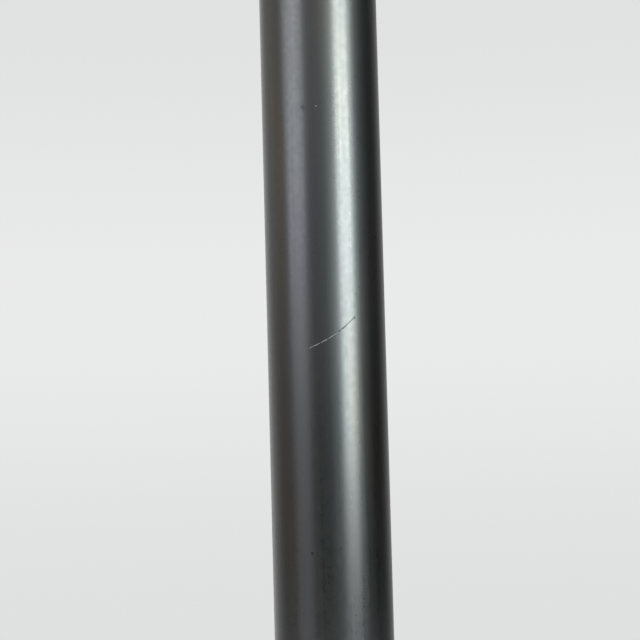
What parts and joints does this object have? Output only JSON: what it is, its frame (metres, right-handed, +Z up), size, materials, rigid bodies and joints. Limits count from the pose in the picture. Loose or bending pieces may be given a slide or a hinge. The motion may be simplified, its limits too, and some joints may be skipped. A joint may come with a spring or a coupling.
{
  "type": "customer pole display",
  "caption": "Free-standing till display: a wide two-line screen on a tilting, swivelling head, on a round steel pole and a weighted base.",
  "frame": {"origin": "on the surface it stands on, under the pole, at the centre of the base", "axes": "+Z up along the pole, +X to the right as the customer sees it, -Y the way the screen faces"},
  "size_m": [0.23, 0.1639, 0.4756],
  "materials": {
    "gunmetal": "satin dark gunmetal coating on drawn steel tube, fine lengthwise grain, a scratch down to bright steel",
    "charcoal_plastic": "moulded ABS with a fine spark texture",
    "black_plastic": "moulded, semi-matt",
    "painted_casting": "black powder coat, fine orange peel",
    "cast_aluminium": "as cast, machined bore",
    "plated_steel": "zinc plated",
    "cast_iron": "sand cast",
    "rubber": "matt",
    "acetal": "smooth black acetal, moulded",
    "filter": "smoked see-through acrylic, polished",
    "display_glass": "polished glass over an unlit phosphor grid",
    "circuit_board": "green solder mask",
    "component": "moulded epoxy",
    "connector": "natural nylon",
    "cable": "PVC jacket"
  },
  "bodies": {
    "stand": {"base_plate": "plated_steel", "rubber_foot_1": "rubber", "rubber_foot_2": "rubber", "rubber_foot_3": "rubber", "rubber_foot_4": "rubber", "ballast_weight": "cast_iron", "base_cover": "charcoal_plastic", "cover_screw_1": "plated_steel", "cover_screw_2": "plated_steel", "cover_screw_3": "plated_steel", "cover_screw_4": "plated_steel", "interface_board": "circuit_board", "interface_screw": "plated_steel", "data_jack": "black_plastic", "harness_header": "connector", "switch_housing": "black_plastic", "pole_socket": "cast_aluminium", "socket_screw_1": "plated_steel", "socket_screw_2": "plated_steel", "socket_screw_3": "plated_steel", "set_screw": "plated_steel", "pole_collar": "black_plastic", "pole_tube": "gunmetal", "pole_harness": "cable", "swivel_bush": "acetal"},
    "rocker": {"power_rocker": "black_plastic"},
    "neck": {"neck_fork": "painted_casting", "hinge_cap_left": "black_plastic", "hinge_cap_right": "black_plastic", "pan_stop_pin": "plated_steel", "swivel_washer": "plated_steel", "thrust_washer": "acetal", "retaining_ring": "plated_steel", "neck_harness": "cable"},
    "head": {"tilt_bracket": "painted_casting", "bracket_screw_1": "plated_steel", "bracket_screw_2": "plated_steel", "bracket_screw_3": "plated_steel", "bracket_screw_4": "plated_steel", "hinge_bolt_left": "plated_steel", "hinge_bolt_right": "plated_steel", "friction_washer_left": "acetal", "friction_washer_right": "acetal", "front_bezel": "charcoal_plastic", "display_filter": "filter", "rear_case": "charcoal_plastic", "case_screw_1": "plated_steel", "case_screw_2": "plated_steel", "case_screw_3": "plated_steel", "case_screw_4": "plated_steel", "vacuum_display": "display_glass", "display_board": "circuit_board", "board_screw_1": "plated_steel", "board_screw_2": "plated_steel", "board_screw_3": "plated_steel", "board_screw_4": "plated_steel", "controller_chip": "component", "power_transformer": "component", "display_header": "connector", "head_harness": "cable"}
  },
  "joints": [
    {"name": "head_pan", "type": "hinge", "parent": "stand", "child": "neck", "pos_m": [0, 0, 0.3443], "axis": [0, 0, 1], "range_deg": [-135, 135]},
    {"name": "head_tilt", "type": "hinge", "parent": "neck", "child": "head", "pos_m": [0, 0, 0.3653], "axis": [-1, 0, 0], "range_deg": [-15, 35]},
    {"name": "rocker_toggle", "type": "hinge", "parent": "stand", "child": "rocker", "pos_m": [-0.03, 0.0785, 0.019], "axis": [0, 0, 1], "range_deg": [0, 20]}
  ]
}
